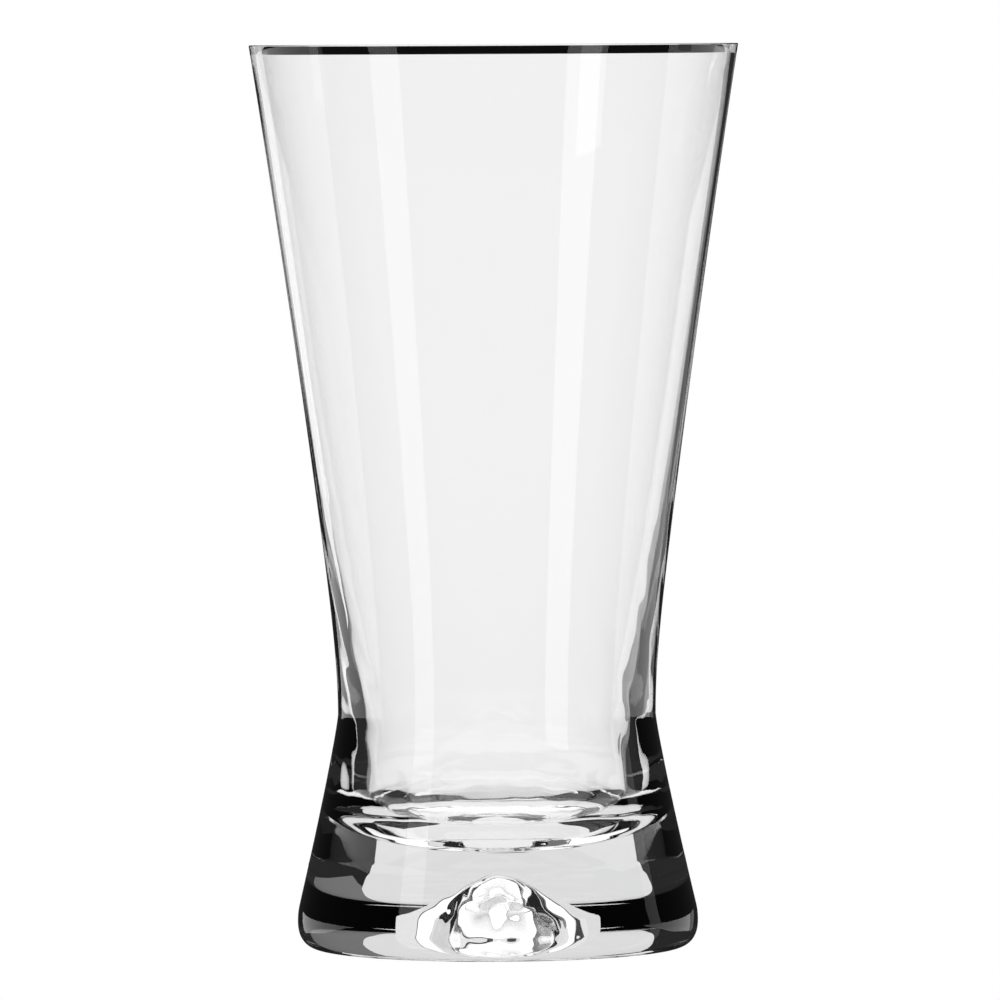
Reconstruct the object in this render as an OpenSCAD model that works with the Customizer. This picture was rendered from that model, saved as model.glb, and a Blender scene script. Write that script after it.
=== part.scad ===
// Pint glass: a thin flared bowl welded hot to a heavy solid foot with a hollow cone under it.
// Millimetres, +Z up, origin at the middle of the resting ring.

/* [Overall] */
// Height from the resting ring to the top of the rim
height = 170; // [141:1:204]
// Outside diameter at the rim
rim_d = 91.8; // [76:0.2:111]

/* [Outside shape] */
// Outside diameter at the waist, the narrowest place of the wall
waist_d = 59.8; // [54:0.1:72]
// Height of the waist
waist_z = 44; // [36:0.5:54]
// Outside diameter at the fullest place of the foot
foot_d = 75.4; // [66:0.2:91]
// Width of the rounded corner between the foot's side and its underside
foot_corner_w = 4.7; // [2:0.1:8]
// Height of that corner, up to the fullest place
foot_corner_h = 5.3; // [2:0.1:8]
// Fullness of that corner: 2 is an ellipse, more is squarer
foot_corner_power = 2.4; // [2:0.05:4]
// Height over which the foot's side would round off above the fullest place
foot_shoulder_h = 7.8; // [4:0.1:12]
// Softness of the turn from the waist into the straight wall above it
waist_ease = 16; // [6:1:30]
// How much further the rim opens than a straight wall would
flare_out = 0.9; // [0:0.1:3]
// How the glass swells below the waist: 1 is a straight cone, more is hollower
flank_power = 1.13; // [1.05:0.01:1.5]

/* [Wall and cavity] */
// Thickness of the wall at the rim
rim_wall = 1.12; // [0.8:0.02:2]
// Thickness of the wall at the waist
waist_wall = 4.85; // [3:0.05:8]
// How quickly the wall thins above the waist: more is quicker
thinning_power = 4.2; // [2:0.1:8]
// Height of the round turn between the cavity's floor and its wall
floor_turn_h = 13.5; // [8:0.1:18]
// Fullness of that turn: 2 is an ellipse, more is squarer
floor_turn_power = 2.35; // [2:0.05:4]
// Softness of the knee where the cavity starts to widen
knee_ease = 0.5; // [0.1:0.05:1]
// Glass of the bowl between the weld and the middle of the cavity's floor
bowl_floor_t = 1.7; // [1:0.1:5]

/* [Hollow under the foot] */
// Diameter of the hollow's mouth
hollow_d = 25.4; // [16:0.2:36]
// Height of the hollow's tip above the resting ring
hollow_h = 12.1; // [8:0.1:16]
// Height of the upright side at the hollow's mouth
hollow_skirt_h = 3.3; // [1:0.1:5]
// Radius of the edge round the hollow's mouth
hollow_lip_r = 0.5; // [0.2:0.05:0.9]
// Bluntness of the hollow's tip: more is blunter
hollow_tip_power = 1.6; // [1.2:0.05:2.4]
// Spread of the hollow's slope where it meets the upright side
hollow_slope_power = 1.5; // [1.05:0.05:2]
// Glass of the foot between the hollow's tip and the weld
foot_cover_t = 2.7; // [1:0.1:5]

/* [Hidden] */
$fn = 180;

// Straight steps that stand for each round stretch of the outline
corner_steps = 9;
shoulder_steps = 3;
foot_flank_steps = 5;
bowl_flank_steps = 12;
wall_steps = 30;
rim_steps = 8;
floor_steps = 18;
hollow_steps = 14;
lip_steps = 4;

rim_r = rim_d / 2;
waist_r = waist_d / 2;
foot_r = foot_d / 2;
hollow_r = hollow_d / 2;
cavity_r = waist_r - waist_wall;
rim_z = height - rim_wall / 2;
weld_z = hollow_h + foot_cover_t;
floor_z = weld_z + bowl_floor_t;
floor_turn_z = floor_z + floor_turn_h;

// Above the fullest place the foot's side rounds off along an ellipse, up to the angle past
function shoulder_end_r(past) = foot_r - foot_corner_w * (1 - cos(past));
function shoulder_end_z(past) = foot_corner_h + foot_shoulder_h * sin(past);

// Angle at which the shoulder and the flank share a tangent, by putting the answer back in
function shoulder_past(past, turns) =
    turns == 0
        ? past
        : let (
            swell = shoulder_end_r(past) - waist_r,
            rise = waist_z - shoulder_end_z(past),
            lean = flank_power * swell / rise
          )
          shoulder_past(atan(lean * foot_shoulder_h / foot_corner_w), turns - 1);

past = shoulder_past(10, 8);
flank_r = shoulder_end_r(past);
flank_z = shoulder_end_z(past);

// Height above the waist as the wall's opening follows it: level at first, then straight
function eased_rise(z) =
    sqrt(pow(z - waist_z, 2) + pow(waist_ease, 2)) - waist_ease;

// Outside radius above the waist: a straight cone from a soft start, with a flare on top
function wall_r(z) =
    let (straight = rim_r - flare_out - waist_r)
    waist_r
        + straight * eased_rise(z) / eased_rise(rim_z)
        + flare_out * pow((z - waist_z) / (rim_z - waist_z), 3);

// Outside radius below the waist, down to the shoulder
function flank_line_r(z) =
    waist_r + (flank_r - waist_r) * pow((waist_z - z) / (waist_z - flank_z), flank_power);

function outside_r(z) = z < waist_z ? flank_line_r(z) : wall_r(z);

// Wall thickness at a height, thin at the rim and growing towards the waist
function wall_t(z) =
    rim_wall + (waist_wall - rim_wall) * pow((rim_z - z) / (rim_z - waist_z), thinning_power);

// The larger of two radii, with the turn between them eased
function eased_max(a, b, ease) = b + ease * ln(1 + exp((a - b) / ease));

// Cavity radius at a height above the floor's round turn
function inside_r(z) = eased_max(outside_r(max(z, waist_z)) - wall_t(z), cavity_r, knee_ease);

function between(a, b, i, steps) = a + (b - a) * i / steps;

function arc(centre_r, centre_z, w, h, a, b, steps) = [
    for (i = [0:steps])
        let (angle = between(a, b, i, steps))
        [centre_r + w * cos(angle), centre_z + h * sin(angle)]
];

// From the edge of the resting ring up to the foot's fullest place, as a superellipse
function corner_line(steps) = [
    for (i = [0:steps])
        let (
            angle = between(0, 90, i, steps),
            out = pow(sin(angle), 2 / foot_corner_power),
            up = 1 - pow(cos(angle), 2 / foot_corner_power)
        )
        [foot_r - foot_corner_w * (1 - out), foot_corner_h * up]
];

// From above the fullest place up to the flank
function shoulder_line(steps) = [
    for (i = [1:steps])
        let (angle = between(0, past, i, steps))
        [shoulder_end_r(angle), shoulder_end_z(angle)]
];

function outside_line(z_low, z_high, steps) = [
    for (i = [1:steps])
        let (z = between(z_low, z_high, i, steps))
        [outside_r(z), z]
];

function inside_line(z_high, z_low, steps) = [
    for (i = [1:steps])
        let (z = between(z_high, z_low, i, steps))
        [inside_r(z), z]
];

// From the top of the floor's round turn to the middle of the floor, as a superellipse
function floor_line(steps) = [
    for (i = [1:steps])
        let (
            angle = between(90, 0, i, steps),
            out = pow(sin(angle), 2 / floor_turn_power),
            up = 1 - pow(cos(angle), 2 / floor_turn_power)
        )
        [cavity_r * out, floor_z + floor_turn_h * up]
];

// From the hollow's tip to the top of its upright side, as a bell
function hollow_line(steps) = [
    for (i = [0:steps])
        let (
            out = i / steps,
            up = pow(1 - pow(out, hollow_tip_power), hollow_slope_power)
        )
        [hollow_r * out, hollow_skirt_h + (hollow_h - hollow_skirt_h) * up]
];

// Thin wall, cavity and fire-polished rim, down to the flat weld
module bowl() {
    edge_r = (outside_r(rim_z) - inside_r(rim_z)) / 2;
    edge_middle_r = outside_r(rim_z) - edge_r;
    wall_step_h = (rim_z - waist_z) / wall_steps;
    outline = concat(
        [[0, weld_z], [outside_r(weld_z), weld_z]],
        outside_line(weld_z, waist_z, bowl_flank_steps),
        outside_line(waist_z, rim_z - wall_step_h, wall_steps - 1),
        arc(edge_middle_r, rim_z, edge_r, edge_r, 0, 180, rim_steps),
        inside_line(rim_z, floor_turn_z, wall_steps),
        floor_line(floor_steps)
    );
    color([0.87, 0.91, 0.91, 0.4])
        rotate_extrude()
            polygon(outline);
}

// Heavy base from the weld down to the resting ring, with the hollow cone under it
module foot() {
    lip_r = hollow_r + hollow_lip_r;
    outline = concat(
        hollow_line(hollow_steps),
        arc(lip_r, hollow_lip_r, hollow_lip_r, hollow_lip_r, 180, 270, lip_steps),
        corner_line(corner_steps),
        shoulder_line(shoulder_steps),
        outside_line(flank_z, weld_z, foot_flank_steps),
        [[0, weld_z]]
    );
    color([0.78, 0.83, 0.83, 0.6])
        rotate_extrude()
            polygon(outline);
}

bowl();
foot();
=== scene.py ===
"""Pint glass in a bright-field studio.

The glass is one continuous body: a thin blown bowl fused to a heavy pressed foot, so it is one
closed mesh that stands for both CAD nodes. Its outline follows the CAD's own formulas, but for the
rim, which is cut flat here. The marks of the making are laid over it as real shape: rings on the
cavity's floor, cords and chill wrinkles low in the wall, the line of the weld and the uneven hollow
under the foot.

The studio is the one that clear glass is shown in. A white backdrop stands behind. Black flags at
both sides, and narrow fins close beside the wall, make the edges read dark, and tall softboxes in
front draw the long highlights. It turns with the camera about the glass's axis, as a set does
round a turntable.
"""

import logging
import math
from dataclasses import dataclass, field
from enum import Enum

import bpy
import numpy as np
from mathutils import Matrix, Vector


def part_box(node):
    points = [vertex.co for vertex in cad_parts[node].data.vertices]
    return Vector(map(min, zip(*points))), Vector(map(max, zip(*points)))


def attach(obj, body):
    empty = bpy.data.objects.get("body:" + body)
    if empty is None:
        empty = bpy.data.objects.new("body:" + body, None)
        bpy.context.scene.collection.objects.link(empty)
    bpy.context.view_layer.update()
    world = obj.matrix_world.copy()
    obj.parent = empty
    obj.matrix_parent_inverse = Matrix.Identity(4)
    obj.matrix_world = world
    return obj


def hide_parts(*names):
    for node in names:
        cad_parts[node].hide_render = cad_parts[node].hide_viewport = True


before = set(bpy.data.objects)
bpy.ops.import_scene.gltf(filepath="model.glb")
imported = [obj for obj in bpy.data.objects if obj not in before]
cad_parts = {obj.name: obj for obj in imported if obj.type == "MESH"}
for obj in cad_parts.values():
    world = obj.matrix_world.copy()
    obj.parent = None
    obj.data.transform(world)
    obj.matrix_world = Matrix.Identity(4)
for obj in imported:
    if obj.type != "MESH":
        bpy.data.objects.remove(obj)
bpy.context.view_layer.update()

MM = 0.001
LOG = logging.getLogger("pint_glass")

Corners = tuple[tuple[float, float, float], ...]


class Rays(Enum):
    """Which rays see a thing of the studio."""

    CAMERA = "camera"
    MIRRORED = "glossy"
    PASSED = "transmission"


def linear(hex_colour: str) -> tuple[float, float, float, float]:
    """Turns an sRGB hex colour into linear light.

    Args:
        hex_colour: six hex digits, such as "c0ffee".

    Returns:
        Red, green, blue and an alpha of 1.
    """
    parts = [int(hex_colour[i : i + 2], 16) / 255 for i in (0, 2, 4)]
    light = [p / 12.92 if p <= 0.04045 else ((p + 0.055) / 1.055) ** 2.4 for p in parts]
    return (*light, 1.0)


def add_node(
    tree: bpy.types.NodeTree,
    kind: str,
    inputs: dict[str | int, object] | None = None,
    **settings: object,
) -> bpy.types.Node:
    """Adds one shader node, with its settings and its links.

    Args:
        tree: the node tree that gets the node.
        kind: the node's type name.
        inputs: socket name or number to a plain value, or to an output socket to link.
        settings: attributes of the node itself.

    Returns:
        The new node.
    """
    node = tree.nodes.new(kind)
    for name, value in settings.items():
        setattr(node, name, value)
    for socket, value in (inputs or {}).items():
        if isinstance(value, bpy.types.NodeSocket):
            tree.links.new(value, node.inputs[socket])
        else:
            node.inputs[socket].default_value = value
    return node


def new_material(name: str) -> tuple[bpy.types.Material, bpy.types.NodeTree, bpy.types.Node]:
    """Makes an empty node material.

    Args:
        name: the material's name.

    Returns:
        The material, its tree and its output node.
    """
    material = bpy.data.materials.new(name)
    material.use_nodes = True
    material.node_tree.nodes.clear()
    return material, material.node_tree, add_node(material.node_tree, "ShaderNodeOutputMaterial")


def mesh_object(name: str, points: np.ndarray, faces: list[np.ndarray]) -> bpy.types.Object:
    """Puts points and faces into a new mesh object at the origin.

    Args:
        name: the object's name.
        points: one row of x, y, z in metres for each vertex.
        faces: arrays of vertex numbers, each with one row for each face.

    Returns:
        The object, in the scene.
    """
    loops = np.concatenate([f.ravel() for f in faces]).astype(np.int32)
    sizes = np.concatenate([np.full(len(f), f.shape[1]) for f in faces]).astype(np.int32)
    starts = np.concatenate([[0], np.cumsum(sizes)[:-1]]).astype(np.int32)
    mesh = bpy.data.meshes.new(name)
    mesh.vertices.add(len(points))
    mesh.vertices.foreach_set("co", points.astype(np.float32).ravel())
    mesh.loops.add(len(loops))
    mesh.loops.foreach_set("vertex_index", loops)
    mesh.polygons.add(len(sizes))
    mesh.polygons.foreach_set("loop_start", starts)
    mesh.update(calc_edges=True)
    mesh.validate()
    thing = bpy.data.objects.new(name, mesh)
    bpy.context.scene.collection.objects.link(thing)
    return thing


# ---------------------------------------------------------------- the outline


@dataclass(frozen=True)
class Outline:
    """The glass's section on one side of its axis, by the CAD's formulas but for the rim's edge.

    Lengths are in millimetres. Height, rim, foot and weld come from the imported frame. The corner
    is the foot's rounded lower edge, the shoulder the round above its fullest place, the flank
    the swell from there up to the waist, the floor's turn the round at the foot of the cavity,
    and the knee the place where the cavity starts to widen.
    """

    height: float
    rim_r: float
    foot_r: float
    weld_z: float
    waist_r: float = 29.9
    waist_z: float = 44.0
    corner_w: float = 4.7
    corner_h: float = 5.3
    corner_power: float = 2.4
    shoulder_h: float = 7.8
    waist_ease: float = 16.0
    flare_out: float = 0.9
    flank_power: float = 1.13
    rim_wall: float = 1.12
    waist_wall: float = 4.85
    thinning_power: float = 4.2
    floor_turn_h: float = 13.5
    floor_turn_power: float = 2.35
    knee_ease: float = 0.5
    bowl_floor_t: float = 1.7
    hollow_r: float = 12.7
    hollow_h: float = 12.1
    hollow_skirt_h: float = 3.3
    hollow_lip_r: float = 0.5
    hollow_tip_power: float = 1.6
    hollow_slope_power: float = 1.5
    rim_edge_r: float = 0.16  # the rim's two edges, where the CAD has one half circle
    guard: float = 0.04  # how close the rings beside a tight round stand to it

    @property
    def cavity_r(self) -> float:
        """Radius of the cavity's upright lowest stretch."""
        return self.waist_r - self.waist_wall

    @property
    def floor_z(self) -> float:
        """Height of the middle of the cavity's floor."""
        return self.weld_z + self.bowl_floor_t

    @property
    def rim_z(self) -> float:
        """Height at which the CAD's outer and inner wall lines end."""
        return self.height - self.rim_wall / 2

    def shoulder_past(self) -> float:
        """Angle past upright at which the shoulder meets the flank on one tangent.

        Returns:
            The angle in radians, found by putting the answer back in.
        """
        past = 0.2
        tries = 8
        for _ in range(tries):
            swell = self.foot_r - self.corner_w * (1 - math.cos(past)) - self.waist_r
            rise = self.waist_z - self.corner_h - self.shoulder_h * math.sin(past)
            past = math.atan(self.flank_power * swell / rise * self.shoulder_h / self.corner_w)
        return past

    def flank_start(self) -> tuple[float, float]:
        """Finds where the flank leaves the shoulder.

        Returns:
            Radius and height of that place.
        """
        past = self.shoulder_past()
        r = self.foot_r - self.corner_w * (1 - math.cos(past))
        return r, self.corner_h + self.shoulder_h * math.sin(past)

    def outside_r(self, z: np.ndarray) -> np.ndarray:
        """Outer radius at heights above the bottom corner.

        Below the waist the swell goes as a power of the depth. Above it the wall is a straight
        cone with a soft start (a hyperbola), with a flare that grows as the cube of the height.

        Args:
            z: heights in millimetres.

        Returns:
            The radii.
        """
        flank_r, flank_z = self.flank_start()
        depth = np.clip((self.waist_z - z) / (self.waist_z - flank_z), 0, None)
        below = self.waist_r + (flank_r - self.waist_r) * depth**self.flank_power
        up = np.clip(z - self.waist_z, 0, None)
        top = self.rim_z - self.waist_z
        eased = np.sqrt(up**2 + self.waist_ease**2) - self.waist_ease
        eased_top = math.hypot(top, self.waist_ease) - self.waist_ease
        straight = self.rim_r - self.flare_out - self.waist_r
        above = self.waist_r + straight * eased / eased_top + self.flare_out * (up / top) ** 3
        return np.where(z < self.waist_z, below, above)

    def inside_r(self, z: np.ndarray) -> np.ndarray:
        """Cavity radius at heights above the floor's turn.

        It is the outer radius less a wall that thins as a power of the distance to the rim, or
        the upright cavity's radius if that is more, with the turn between the two eased.

        Args:
            z: heights in millimetres.

        Returns:
            The radii.
        """
        thin = (self.rim_z - z) / (self.rim_z - self.waist_z)
        wall = self.rim_wall + (self.waist_wall - self.rim_wall) * np.abs(thin) ** self.thinning_power
        sloped = self.outside_r(np.maximum(z, self.waist_z)) - wall
        return self.cavity_r + self.knee_ease * np.log1p(
            np.exp((sloped - self.cavity_r) / self.knee_ease)
        )


class Zone(Enum):
    """The stretches of the outline, in the order in which it is walked from the hollow's tip."""

    HOLLOW = 0
    LIP = 1
    RING = 2
    CORNER = 3
    FLANK = 4
    WALL_OUT = 5
    RIM = 6
    WALL_IN = 7
    TURN = 8


@dataclass(frozen=True)
class Steps:
    """How many mesh rings each stretch of the outline gets, and points each ring.

    The flank's rings stand close and go on past the waist, where the marks are fine, and the
    outer wall's rings above them stand wider.
    """

    hollow: int = 44
    lip: int = 6
    ring: int = 8
    corner: int = 20
    shoulder: int = 6
    flank: int = 72
    wall_out: int = 74
    rim: int = 12
    wall_in: int = 86
    turn: int = 84
    around: int = 256
    close_past_waist: float = 16.0  # millimetres above the waist up to which they stand close


# ---------------------------------------------------------------- marks of the making


@dataclass(frozen=True)
class Swell:
    """A smooth random swell in space: a sum of plane waves in seeded directions.

    wave is the usual length of the waves in millimetres, and count is how many there are.
    """

    wave: float
    seed: int
    count: int = 24

    def at(self, x: np.ndarray, y: np.ndarray, z: np.ndarray) -> np.ndarray:
        """Height of the swell at points.

        Each wave is a sine of the distance along its own direction, with its own phase and a
        length within a third of wave. The sum is scaled to a spread of about one.

        Args:
            x: first coordinates.
            y: second coordinates.
            z: third coordinates.

        Returns:
            The heights, mostly within plus and minus two.
        """
        draw = np.random.default_rng(self.seed)
        way = draw.normal(size=(self.count, 3))
        way /= np.linalg.norm(way, axis=1, keepdims=True)
        way *= (2 * math.pi / self.wave) * draw.uniform(0.75, 1.35, (self.count, 1))
        phase = draw.uniform(0, 2 * math.pi, self.count)
        sums = np.tensordot(way, np.stack([x, y, z]), axes=1)
        sums += phase.reshape((-1,) + (1,) * x.ndim)
        return np.sin(sums).sum(axis=0) * math.sqrt(2 / self.count)


def window(value: np.ndarray, low: float, high: float, soft: float) -> np.ndarray:
    """Cuts a stretch out of a range, with smooth steps at its ends.

    Each step is a cubic that starts and ends level, and low or high is its middle.

    Args:
        value: where to work it out.
        low: the stretch's lower end.
        high: its upper end.
        soft: the width of each step.

    Returns:
        One inside the stretch and zero outside it.
    """
    up = np.clip((value - low) / soft + 0.5, 0, 1)
    down = np.clip((high - value) / soft + 0.5, 0, 1)
    return (up * up * (3 - 2 * up)) * (down * down * (3 - 2 * down))


@dataclass(frozen=True)
class Marks:
    """What the making left on the surface, as departures from the true outline.

    Lengths are in millimetres. A name in _d is a depth, the spread of the surface about its
    place, and each Swell is the pattern of one mark.
    """

    wall_wave_d: float = 0.008
    chill_d: float = 0.010
    cord_d: float = 0.008
    ring_d: float = 0.040
    ring_pitch: float = 3.6
    ring_middle: tuple[float, float] = (0.8, -0.6)  # x and y, a little off the axis
    weld_d: float = 0.035
    weld_w: float = 0.35
    weld_line_z: float = 16.6  # the weld's line on the outside, above the CAD's flat weld
    weld_wander: float = 0.35
    hollow_d: float = 0.07
    foot_wave_d: float = 0.006
    chill_outside: float = 0.35  # share of the chill wrinkles that the outside has
    cord_slant: float = 60.0  # height in which a cord goes round by one radian
    cord_draw: float = 5.0  # how many times longer than wide a cord is
    wall_waves: Swell = Swell(38, 11)
    foot_waves: Swell = Swell(24, 12)
    chill: Swell = Swell(6.0, 21, 40)
    cords: Swell = Swell(5.0, 22, 30)
    ring_drift: Swell = Swell(20, 31, 8)
    weld_drift: Swell = Swell(16, 41, 8)
    hollow_lumps: Swell = Swell(7.0, 52, 20)
    hollow_ripples: Swell = Swell(3.5, 53, 20)

    def depth(self, zone: np.ndarray, x: np.ndarray, y: np.ndarray, z: np.ndarray) -> np.ndarray:
        """How far each point moves out of the glass, along its normal.

        The blown wall has long faint waves, and the foot's side has shorter ones. Low down the
        wall has chill wrinkles, short and close to each other, and slanted cords. The floor has
        rings left by the plunger. The weld is a low ridge that wanders a little. The hollow,
        shaped in the soft foot, is uneven.

        Args:
            zone: the Zone number of each point.
            x: x in millimetres.
            y: y in millimetres.
            z: z in millimetres.

        Returns:
            The depths in millimetres.
        """
        r = np.hypot(x, y)
        angle = np.arctan2(y, x)
        inner = zone >= Zone.WALL_IN.value
        outer = (zone == Zone.FLANK.value) | (zone == Zone.WALL_OUT.value)
        below_rim = window(z, -math.inf, 164, 8)

        total = self.wall_wave_d * self.wall_waves.at(x, y, z) * (inner | outer) * below_rim
        on_foot = window(z, 1.2, 14, 2.0) * (zone >= Zone.CORNER.value)
        total = total + self.foot_wave_d * self.foot_waves.at(x, y, z) * on_foot

        low_in = window(z, 21, 58, 14) * inner
        low_out = window(z, 17, 50, 8) * outer
        chill = self.chill.at(x, y, z)
        lean = angle + z / self.cord_slant
        cords = self.cords.at(r * np.cos(lean), r * np.sin(lean), z / self.cord_draw)
        total = total + self.chill_d * chill * (low_in + self.chill_outside * low_out)
        total = total + self.cord_d * cords * (low_in + window(z, 40, 84, 24) * inner)

        on_floor = (zone == Zone.TURN.value) * window(r, -math.inf, 23.0, 4)
        off_r = np.hypot(x - self.ring_middle[0], y - self.ring_middle[1])
        drift = 0.5 * self.ring_drift.at(x, y, z)
        rings = np.cos(2 * math.pi * off_r / self.ring_pitch + drift)
        total = total + self.ring_d * rings * on_floor

        weld_z = self.weld_line_z + self.weld_wander * self.weld_drift.at(x, y, 0 * z)
        ridge = np.exp(-(((z - weld_z) / self.weld_w) ** 2))
        total = total + self.weld_d * ridge * outer

        in_hollow = zone == Zone.HOLLOW.value
        uneven = self.hollow_lumps.at(x, y, z) + 0.5 * self.hollow_ripples.at(x, y, z)
        return total + self.hollow_d * uneven * in_hollow * window(z, 2.9, math.inf, 1.2)


# ---------------------------------------------------------------- the glass itself


@dataclass(frozen=True)
class SodaLimeGlass:
    """Decolourised soda-lime glass, blown above the weld and pressed below it, fire-polished.

    Thin walls stay bright. The thick foot turns a cool light grey, because the glass takes a
    little of all colours on the long way through it.
    """

    ior: float = 1.52
    tint: str = "ffffff"
    deep_tint: str = "2b3634"
    absorption_per_m: float = 4.4

    def make(self) -> bpy.types.Material:
        """Builds the material.

        Returns:
            The glass. Its skin is as smooth as a flame leaves it, so all its unevenness is in
            the mesh, and the volume inside it absorbs.
        """
        material, tree, output = new_material("decolourised_soda_lime_glass")
        glass = add_node(
            tree,
            "ShaderNodeBsdfPrincipled",
            {
                "Base Color": linear(self.tint),
                "Roughness": 0.0,
                "IOR": self.ior,
                "Transmission Weight": 1.0,
            },
        )
        inside = add_node(
            tree,
            "ShaderNodeVolumeAbsorption",
            {"Color": linear(self.deep_tint), "Density": self.absorption_per_m},
        )
        tree.links.new(glass.outputs["BSDF"], output.inputs["Surface"])
        tree.links.new(inside.outputs["Volume"], output.inputs["Volume"])
        return material


@dataclass
class PintGlass:
    """The whole glass: the outline turned round its axis, with the marks of the making."""

    outline: Outline
    marks: Marks = field(default_factory=Marks)
    steps: Steps = field(default_factory=Steps)
    finish: SodaLimeGlass = field(default_factory=SodaLimeGlass)

    def hollow(self) -> np.ndarray:
        """Points from just off the hollow's tip to the top of its upright side.

        The height falls as a bell: one less the share of the radius to a power, to a power.

        Returns:
            Radius and height of the points, in the order of the walk.
        """
        o = self.outline
        out = np.arange(1, self.steps.hollow + 1) / self.steps.hollow
        up = (1 - out**o.hollow_tip_power) ** o.hollow_slope_power
        return np.stack([o.hollow_r * out, o.hollow_skirt_h + (o.hollow_h - o.hollow_skirt_h) * up])

    def lip(self) -> np.ndarray:
        """Points round the quarter circle from the hollow's side to the resting ring.

        Returns:
            Radius and height of the points, in the order of the walk.
        """
        o = self.outline
        turn = np.linspace(math.pi, 1.5 * math.pi, self.steps.lip)
        middle = o.hollow_r + o.hollow_lip_r
        r = middle + o.hollow_lip_r * np.cos(turn)
        z = o.hollow_lip_r * (1 + np.sin(turn))
        return self.guarded(r, z, (0, o.guard), (o.guard, 0))

    def ring(self) -> np.ndarray:
        """Points across the flat resting ring, without its ends.

        Returns:
            Radius and height of the points, in the order of the walk.
        """
        o = self.outline
        r = np.linspace(o.hollow_r + o.hollow_lip_r, o.foot_r - o.corner_w, self.steps.ring + 2)
        return np.stack([r, 0 * r])[:, 1:-1]

    def corner(self) -> np.ndarray:
        """Points round the bottom corner, a superellipse, and over the shoulder, an ellipse.

        Returns:
            Radius and height of the points, in the order of the walk.
        """
        o = self.outline
        turn = np.linspace(0, math.pi / 2, self.steps.corner)
        r = o.foot_r - o.corner_w * (1 - np.sin(turn) ** (2 / o.corner_power))
        z = o.corner_h * (1 - np.cos(turn) ** (2 / o.corner_power))
        over = np.linspace(0, o.shoulder_past(), self.steps.shoulder + 1)[1:]
        over_r = o.foot_r - o.corner_w * (1 - np.cos(over))
        over_z = o.corner_h + o.shoulder_h * np.sin(over)
        return np.stack([np.concatenate([r, over_r]), np.concatenate([z, over_z])])

    def outside(self, low: float, high: float, steps: int) -> np.ndarray:
        """Points up the outside, after low and up to high."""
        z = np.linspace(low, high, steps + 1)[1:]
        return np.stack([self.outline.outside_r(z), z])

    def rim(self) -> np.ndarray:
        """Points over the rim: cut flat across the wall and fire-polished at both edges.

        Each edge is a quarter circle, and its middle lies in the wall.

        Returns:
            Radius and height of the points, in the order of the walk.
        """
        o = self.outline
        top = o.height - o.rim_edge_r
        half = self.steps.rim // 2
        out = np.linspace(0, math.pi / 2, half)
        back = np.linspace(math.pi / 2, math.pi, half)
        z = np.array([top])
        r_out = float(o.outside_r(z)[0]) - o.rim_edge_r
        r_in = float(o.inside_r(z)[0]) + o.rim_edge_r
        r = np.concatenate([r_out + o.rim_edge_r * np.cos(out), r_in + o.rim_edge_r * np.cos(back)])
        up = np.concatenate([np.sin(out), np.sin(back)])
        return self.guarded(r, top + o.rim_edge_r * up, (0, -o.guard), (0, -o.guard))

    @staticmethod
    def guarded(
        r: np.ndarray, z: np.ndarray, before: tuple[float, float], after: tuple[float, float]
    ) -> np.ndarray:
        """Adds a ring close before a tight round and one close after it.

        They keep the round's slanting light to the round itself, so that the long faces beside
        it stay true.

        Args:
            r: radii of the round.
            z: heights of the round.
            before: how far the first new ring lies from the round's start, in radius and height.
            after: how far the last new ring lies from its end.

        Returns:
            The round with its two guards.
        """
        all_r = np.concatenate([[r[0] + before[0]], r, [r[-1] + after[0]]])
        all_z = np.concatenate([[z[0] + before[1]], z, [z[-1] + after[1]]])
        return np.stack([all_r, all_z])

    def inside(self, high: float, low: float, steps: int) -> np.ndarray:
        """Points down the inside, after high and down to low."""
        z = np.linspace(high, low, steps + 1)[1:]
        return np.stack([self.outline.inside_r(z), z])

    def turn(self) -> np.ndarray:
        """Points down the floor's round turn and in to just off the middle of the floor.

        The turn is a superellipse, in even steps of its own length.

        Returns:
            Radius and height of the points, in the order of the walk.
        """
        o = self.outline
        fine = 2000
        angle = np.linspace(math.pi / 2, 0, fine)
        r = o.cavity_r * np.sin(angle) ** (2 / o.floor_turn_power)
        z = o.floor_z + o.floor_turn_h * (1 - np.cos(angle) ** (2 / o.floor_turn_power))
        way = np.concatenate([[0], np.cumsum(np.hypot(np.diff(r), np.diff(z)))])
        at = np.linspace(0, way[-1], self.steps.turn + 1)[1:-1]
        return np.stack([np.interp(at, way, r), np.interp(at, way, z)])

    def section(self) -> tuple[np.ndarray, np.ndarray]:
        """Walks the whole outline from the hollow's tip to the middle of the cavity's floor.

        Returns:
            Radius and height of each ring, and the Zone number of each.
        """
        o, s = self.outline, self.steps
        flank_z = o.flank_start()[1]
        turn_z = o.floor_z + o.floor_turn_h
        top = o.height - o.rim_edge_r
        close_z = o.waist_z + s.close_past_waist
        stretches = {
            Zone.HOLLOW: self.hollow(),
            Zone.LIP: self.lip(),
            Zone.RING: self.ring(),
            Zone.CORNER: self.corner(),
            Zone.FLANK: self.outside(flank_z, close_z, s.flank),
            Zone.WALL_OUT: self.outside(close_z, top - o.guard, s.wall_out)[:, :-1],
            Zone.RIM: self.rim(),
            Zone.WALL_IN: self.inside(top - o.guard, turn_z, s.wall_in),
            Zone.TURN: self.turn(),
        }
        zones = np.concatenate([np.full(p.shape[1], zone.value) for zone, p in stretches.items()])
        return np.concatenate(list(stretches.values()), axis=1), zones

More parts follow.
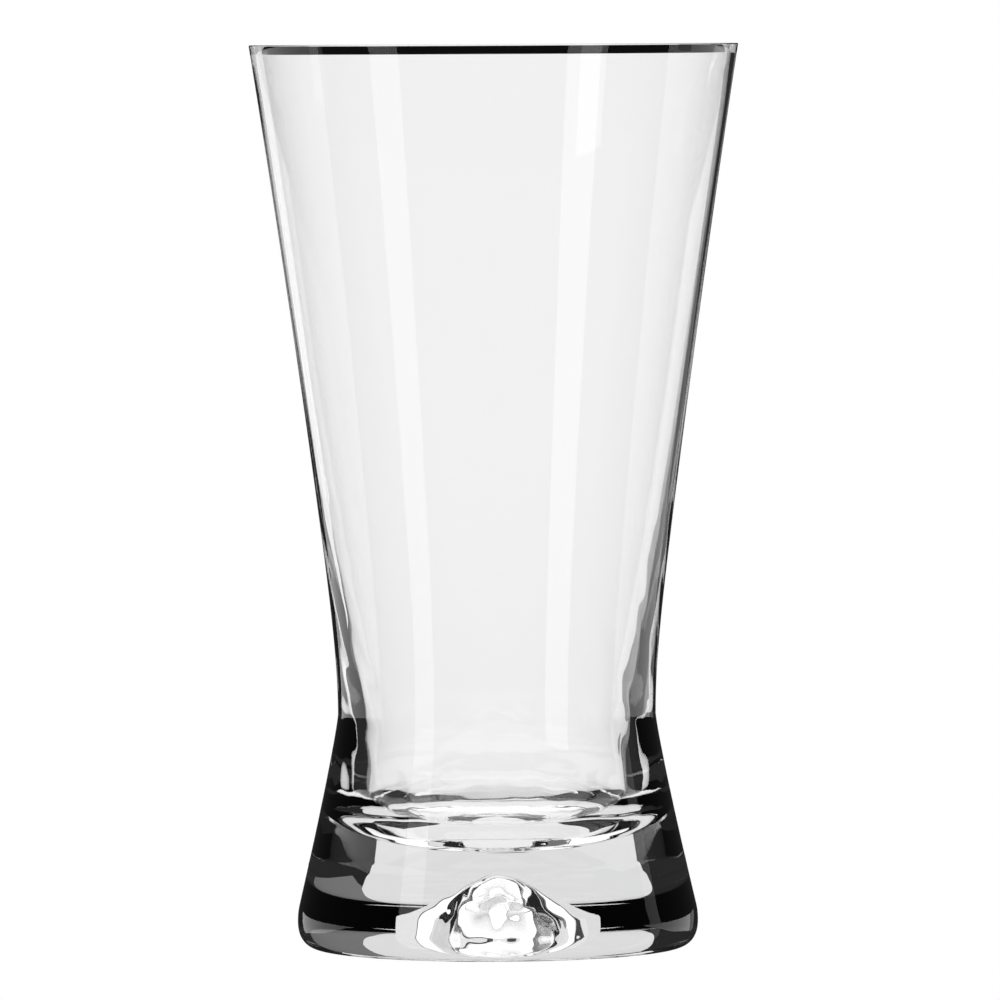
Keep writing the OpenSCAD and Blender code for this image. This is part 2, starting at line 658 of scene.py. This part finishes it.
    def points(self) -> tuple[np.ndarray, int]:
        """Turns the section round the axis and adds the marks.

        A point moves along the section's normal, which is the section's own direction turned a
        quarter turn out of the glass. The two poles are the first and the last point.

        Returns:
            Points in metres, and the number of rings between the poles.
        """
        (r, z), zones = self.section()
        o = self.outline
        full_r = np.concatenate([[-r[0]], r, [-r[-1]]])
        full_z = np.concatenate([[z[0]], z, [z[-1]]])
        along = np.stack([full_r[2:] - full_r[:-2], full_z[2:] - full_z[:-2]])
        along /= np.hypot(*along)
        normal_r, normal_z = along[1], -along[0]

        turn = np.arange(self.steps.around) * 2 * math.pi / self.steps.around
        x = r[:, None] * np.cos(turn)
        y = r[:, None] * np.sin(turn)
        zz = np.repeat(z[:, None], self.steps.around, axis=1)
        zone = np.repeat(zones[:, None], self.steps.around, axis=1)
        depth = self.marks.depth(zone, x, y, zz)
        x = x + depth * normal_r[:, None] * np.cos(turn)
        y = y + depth * normal_r[:, None] * np.sin(turn)
        zz = zz + depth * normal_z[:, None]

        rings = np.stack([x, y, zz], axis=-1).reshape(-1, 3)
        tip_z = zz[0].mean() + (o.hollow_h - z[0])
        floor_z = zz[-1].mean() + (o.floor_z - z[-1])
        poles = np.array([[0, 0, tip_z], [0, 0, floor_z]])
        return np.concatenate([poles[:1], rings, poles[1:]]) * MM, len(r)

    def faces(self, rings: int) -> list[np.ndarray]:
        """Joins neighbouring rings by quads, and the first and last ring to their poles.

        Args:
            rings: how many rings there are.

        Returns:
            Triangles at the two poles, and quads, all facing out of the glass.
        """
        n = self.steps.around
        here = np.arange(n)
        after = (here + 1) % n
        ring = 1 + n * np.arange(rings - 1)[:, None]
        quads = np.stack(
            [ring + here, ring + after, ring + n + after, ring + n + here], axis=-1
        ).reshape(-1, 4)
        last = 1 + n * (rings - 1)
        tip = np.stack([0 * here, 1 + after, 1 + here], axis=-1)
        floor = np.stack([0 * here + last + n, last + here, last + after], axis=-1)
        return [tip, quads, floor]

    def build(self) -> bpy.types.Object:
        """Builds and dresses the glass.

        Returns:
            The finished piece, riding on the frame and standing for both CAD nodes.
        """
        points, rings = self.points()
        piece = mesh_object("glass_body", points, self.faces(rings))
        piece.data.polygons.foreach_set("use_smooth", np.ones(len(piece.data.polygons), bool))
        piece.data.materials.append(self.finish.make())
        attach(piece, "root")
        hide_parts("bowl", "foot")
        return piece


# ---------------------------------------------------------------- the studio


@dataclass(frozen=True)
class Card:
    """A card of the studio, which shines evenly.

    Corners are in metres and come in pairs across the card, from one end to the other, so four
    make a plain card and more make one cut to a curve. light is its strength, where the floor's
    is 1, and seen_by names the rays that see it.
    """

    name: str
    corners: Corners
    light: float
    seen_by: tuple[Rays, ...]

    def make(self, rig: bpy.types.Object) -> bpy.types.Object:
        """Makes the card and hangs it on the rig.

        Args:
            rig: what turns with the camera.

        Returns:
            The card.
        """
        pair = 2 * np.arange(len(self.corners) // 2 - 1)
        quads = np.stack([pair, pair + 1, pair + 3, pair + 2], axis=1)
        card = mesh_object(self.name, np.array(self.corners), [quads])
        material, tree, output = new_material(self.name)
        glow = add_node(tree, "ShaderNodeEmission", {"Strength": self.light})
        tree.links.new(glow.outputs[0], output.inputs["Surface"])
        card.data.materials.append(material)
        for rays in Rays:
            setattr(card, f"visible_{rays.value}", rays in self.seen_by)
        card.visible_diffuse = False
        card.visible_shadow = False
        card.parent = rig
        return card


def upright(x0: float, y0: float, x1: float, y1: float, low: float, high: float) -> Corners:
    """Corners of an upright card over the line from x0, y0 to x1, y1."""
    return ((x0, y0, low), (x1, y1, low), (x0, y0, high), (x1, y1, high))


def level(x0: float, y0: float, x1: float, y1: float, z: float) -> Corners:
    """Corners of a level card."""
    return ((x0, y0, z), (x1, y0, z), (x0, y1, z), (x1, y1, z))


def facing(azimuth: float, width: float, away: float, low: float, high: float) -> Corners:
    """Corners of an upright card that faces the glass.

    Args:
        azimuth: its direction from the glass in degrees, 0 at the camera and right positive.
        width: how many degrees it spans.
        away: its distance from the axis in metres.
        low: height of its lower edge.
        high: height of its upper edge.

    Returns:
        The four corners.
    """
    ends = [math.radians(azimuth - width / 2), math.radians(azimuth + width / 2)]
    (x0, y0), (x1, y1) = [(away * math.sin(a), -away * math.cos(a)) for a in ends]
    return upright(x0, y0, x1, y1, low, high)


@dataclass(frozen=True)
class Fin:
    """A narrow black flag cut to the glass's side, which keeps the wall's edge dark.

    It stands in the plane of the axis, close beside the glass. Lengths are in millimetres, and
    gap and width are given at each height.
    """

    heights: tuple[float, ...]
    gap: tuple[float, ...]
    width: tuple[float, ...]

    def corners(self, side: int, outline: Outline) -> Corners:
        """Corners of the fin, in pairs up its height.

        Its inner edge is the glass's outer radius plus the gap.

        Args:
            side: -1 for the left, 1 for the right.
            outline: the glass's outline.

        Returns:
            The corners in metres.
        """
        rows = 40
        z = np.linspace(self.heights[0], self.heights[-1], rows)
        inner = outline.outside_r(z) + np.interp(z, self.heights, self.gap)
        outer = inner + np.interp(z, self.heights, self.width)
        pairs = np.stack([side * inner, 0 * z, z, side * outer, 0 * z, z], axis=1)
        return tuple(map(tuple, pairs.reshape(-1, 3) * MM))


@dataclass
class Studio:
    """Floor, backdrop, flags and softboxes round the glass, and the camera.

    Places are in metres. The camera is level with the rim, a long lens away.
    """

    rim_z: float
    outline: Outline
    left_fin: Fin = Fin(
        heights=(22, 30, 44, 64, 84, 130, 166),
        gap=(0.4, 2.0, 2.4, 0.9, 0.4, 0.4, 0.3),
        width=(11, 5.3, 5.3, 2.8, 1.2, 0.5, 0.5),
    )
    right_fin: Fin = Fin(
        heights=(22, 30, 42, 52, 73, 102, 131, 168),
        gap=(0.4, 2.6, 1.3, 1.4, 0.7, 0.9, 0.5, 0.3),
        width=(13, 9, 9, 9, 8, 6, 5, 4),
    )
    flag_light: float = 0.027
    away: float = 2.05  # from the glass's axis to the camera
    aim: tuple[float, float, float] = (0.0008, 0.0, 0.0843)
    lens: float = 392.6  # focal length in millimetres
    roll_deg: float = -0.3

    def cards(self) -> list[Card]:
        """Lists the cards.

        Returns:
            What is behind the glass, beside it, over it and in front of it.
        """
        passed, mirrored = (Rays.PASSED,), (Rays.MIRRORED,)
        brow_z = self.rim_z - 0.0008
        dark = self.flag_light
        return [
            Card("backdrop", upright(-1.4, 1.4, 1.4, 1.4, -1.2, 1.05), 1.05, passed),
            Card("canopy", level(-1.75, -1.75, 1.75, 1.75, 1.0), 1.6, passed),
            Card("underlight", level(-1.5, -1.5, 1.5, 1.5, -1.0), 1.0, passed),
            Card("flag_right", upright(0.5, 0.83, 0.5, -1.0, -0.6, 0.33), dark, passed),
            Card("flag_left", upright(-0.5, -1.0, -0.5, 0.64, -0.6, 0.33), dark, passed),
            Card("fin_right", self.right_fin.corners(1, self.outline), dark, passed),
            Card("fin_left", self.left_fin.corners(-1, self.outline), dark, passed),
            Card("grey_right", self.grey_card(), 0.25, passed),
            Card("flag_brow", upright(-0.4, 0.3, 0.4, 0.3, brow_z, 0.2), 0.0, passed),
            Card("table_left", self.wedge(-1, 25, 90), 1.0, mirrored),
            Card("table_right", self.wedge(1, 33, 90), 1.0, mirrored),
            Card("table_grey", self.wedge(1, 23, 33), 0.35, mirrored),
            Card("softbox_left", facing(-53, 14.8, 1.0, -1.0, 1.3), 1.3, mirrored),
            Card("softbox_right", facing(43.5, 17, 1.0, -1.0, 0.30), 1.5, mirrored),
            Card("softbox_side", facing(101, 10, 1.0, -1.0, 1.3), 0.5, mirrored),
        ]

    @staticmethod
    def grey_card() -> Corners:
        """Corners of the grey card behind the glass on the right, cut slanting along its left.

        Returns:
            The corners in pairs, from the top down.
        """
        heights = (0.16, 0.09, 0.04, 0.0, -0.025, -0.05)
        near = (0.077, 0.083, 0.089, 0.094, 0.099, 0.123)
        pairs = [((x, 0.2, z), (0.3, 0.2, z)) for x, z in zip(near, heights)]
        return tuple(corner for pair in pairs for corner in pair)

    def wedge(self, side: int, start: float, end: float) -> Corners:
        """Corners of a stretch of the table's top behind the glass, seen from the glass's edge.

        Args:
            side: -1 for the left, 1 for the right.
            start: its first direction in degrees, from straight back to the side.
            end: its last direction.

        Returns:
            The four corners.
        """
        near, far, z = 0.02, 2.5, -0.002
        ways = [math.radians(a) for a in (start, end)]
        edge = 0.044
        first, last = [(side * math.sin(w), math.cos(w)) for w in ways]
        return (
            (side * edge + near * first[0], near * first[1], z),
            (side * edge + near * last[0], near * last[1], z),
            (side * edge + far * first[0], far * first[1], z),
            (side * edge + far * last[0], far * last[1], z),
        )

    def make_floor(self) -> bpy.types.Object:
        """Makes the pale floor, which is clear from below so that the glass shows from there.

        Returns:
            The floor.
        """
        half, z = 3.0, -0.0001
        floor = mesh_object(
            "floor", np.array(level(-half, -half, half, half, z)), [np.array([[0, 1, 3, 2]])]
        )
        material, tree, output = new_material("white_table")
        face = add_node(tree, "ShaderNodeNewGeometry")
        pale = add_node(tree, "ShaderNodeEmission", {"Strength": 1.0})
        clear = add_node(tree, "ShaderNodeBsdfTransparent")
        both = add_node(
            tree,
            "ShaderNodeMixShader",
            {0: face.outputs["Backfacing"], 1: pale.outputs[0], 2: clear.outputs[0]},
        )
        tree.links.new(both.outputs[0], output.inputs["Surface"])
        floor.data.materials.append(material)
        floor.visible_glossy = False
        floor.visible_transmission = False
        return floor

    def make_world(self) -> None:
        """Makes the room: white to the camera, and nearly dark to the glass."""
        world = bpy.data.worlds.new("room")
        bpy.context.scene.world = world
        world.use_nodes = True
        tree = world.node_tree
        tree.nodes.clear()
        path = add_node(tree, "ShaderNodeLightPath")
        dim = add_node(tree, "ShaderNodeBackground", {"Color": (0.03, 0.03, 0.03, 1)})
        white = add_node(tree, "ShaderNodeBackground", {"Color": (1, 1, 1, 1)})
        both = add_node(
            tree,
            "ShaderNodeMixShader",
            {0: path.outputs["Is Camera Ray"], 1: dim.outputs[0], 2: white.outputs[0]},
        )
        output = add_node(tree, "ShaderNodeOutputWorld")
        tree.links.new(both.outputs[0], output.inputs["Surface"])

    def make_camera(self) -> bpy.types.Object:
        """Makes the camera, level with the rim and aimed a little down.

        Returns:
            The camera.
        """
        data = bpy.data.cameras.new("camera")
        data.lens = self.lens
        camera = bpy.data.objects.new("camera", data)
        bpy.context.scene.collection.objects.link(camera)
        camera.location = (0.0, -self.away, self.rim_z)
        look = Vector(self.aim) - camera.location
        turn = look.to_track_quat("-Z", "Y").to_matrix().to_4x4()
        roll = Matrix.Rotation(math.radians(self.roll_deg), 4, "Z")
        camera.matrix_world = Matrix.Translation(camera.location) @ turn @ roll
        bpy.context.scene.camera = camera
        return camera

    def make_rig(self, camera: bpy.types.Object) -> bpy.types.Object:
        """Makes the axis that the set turns on, which keeps its front to the camera.

        Args:
            camera: what the set faces.

        Returns:
            An empty on the glass's axis.
        """
        rig = bpy.data.objects.new("set_axis", None)
        bpy.context.scene.collection.objects.link(rig)
        face = rig.constraints.new("LOCKED_TRACK")
        face.target = camera
        face.track_axis = "TRACK_NEGATIVE_Y"
        face.lock_axis = "LOCK_Z"
        return rig

    def build(self) -> None:
        """Builds the whole studio."""
        bpy.context.scene.view_settings.view_transform = "Standard"
        self.make_world()
        self.make_floor()
        rig = self.make_rig(self.make_camera())
        for card in self.cards():
            card.make(rig)
            LOG.info("studio: %s", card.name)


def main() -> None:
    """Builds the glass and its studio."""
    logging.basicConfig(level=logging.INFO, format="%(message)s")
    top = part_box("bowl")[1]
    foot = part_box("foot")[1]
    outline = Outline(
        height=top.z / MM, rim_r=top.x / MM, foot_r=round(foot.x / MM, 1), weld_z=foot.z / MM
    )
    piece = PintGlass(outline).build()
    LOG.info("%s: %d faces", piece.name, len(piece.data.polygons))
    Studio(rim_z=top.z, outline=outline).build()


if __name__ == "__main__":
    main()
